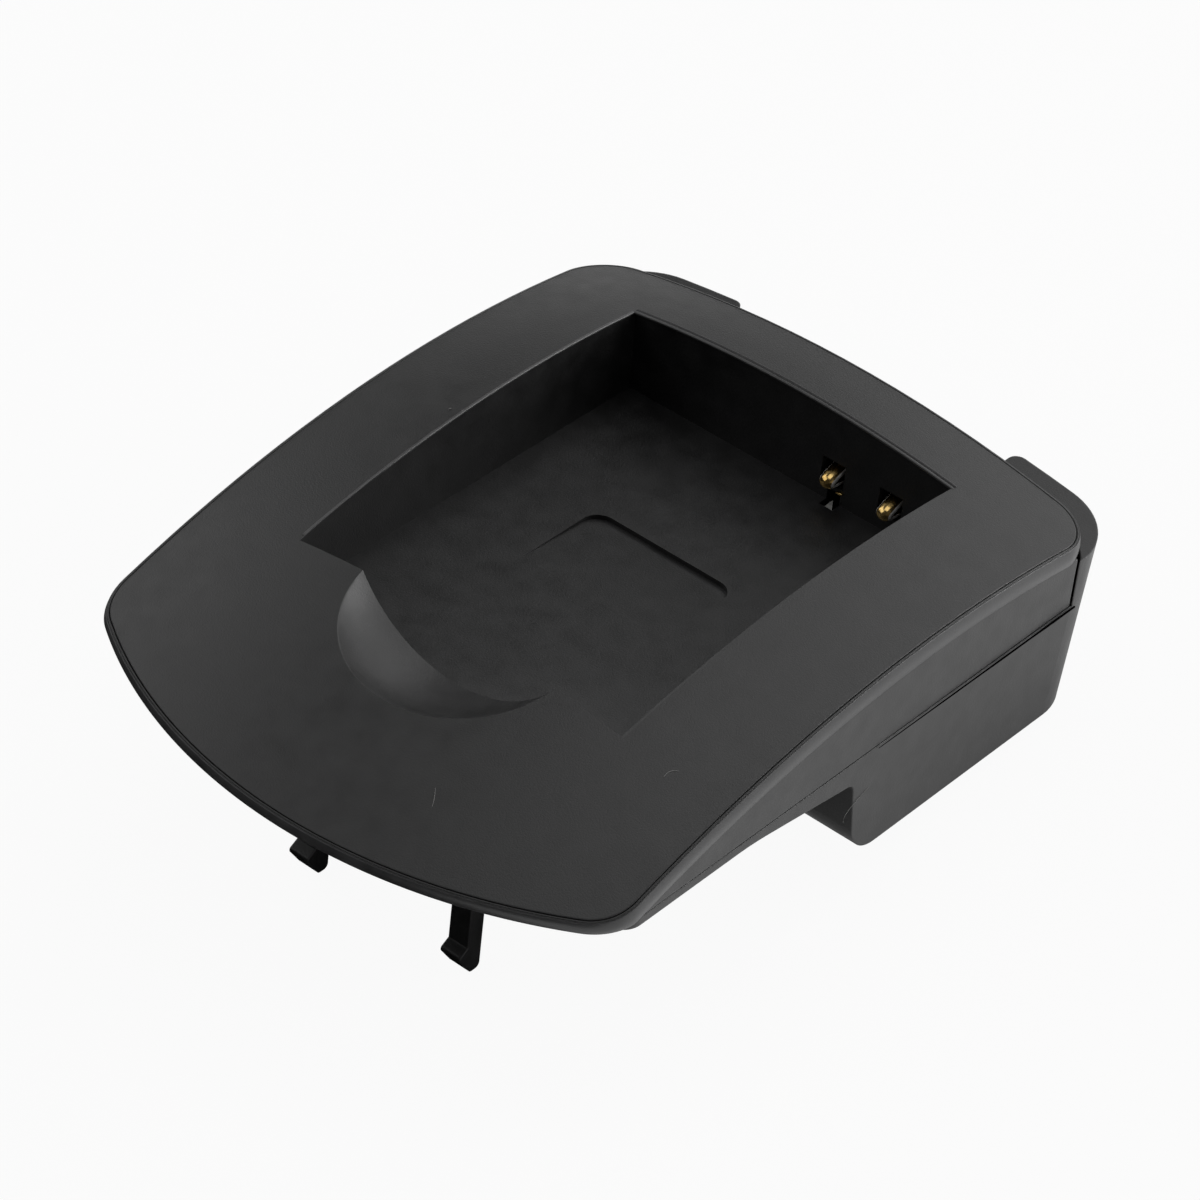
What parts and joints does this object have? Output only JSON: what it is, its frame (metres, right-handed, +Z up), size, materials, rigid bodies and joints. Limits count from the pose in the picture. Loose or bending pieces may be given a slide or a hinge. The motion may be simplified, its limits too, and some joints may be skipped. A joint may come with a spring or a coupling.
{
  "type": "camera battery charger cradle plate",
  "caption": "Clip-on cradle plate of a camera battery charger: domed lid with a battery pocket and finger scoop, over a boxed housing with snap legs and sprung contacts.",
  "frame": {"origin": "middle of the outline, at the level of the leg tips", "axes": "+Z up out of the battery pocket, +Y towards the rear where the contacts and ears are, +X to the right seen from the front"},
  "size_m": [0.0556, 0.0771, 0.0304],
  "materials": {
    "charcoal_plastic": "finely textured charcoal moulding",
    "gold_contact": "gold plated, bright",
    "board_laminate": "green solder mask",
    "chip_body": "dark ceramic with tinned ends",
    "screw_steel": "zinc plated"
  },
  "bodies": {
    "root": {"top_cover": "charcoal_plastic", "lower_housing": "charcoal_plastic", "battery_contact_positive": "gold_contact", "battery_contact_negative": "gold_contact", "base_contacts": "gold_contact", "circuit_board": "board_laminate", "chip_resistors": "chip_body", "chip_capacitor": "chip_body", "housing_screws": "screw_steel"}
  },
  "joints": []
}
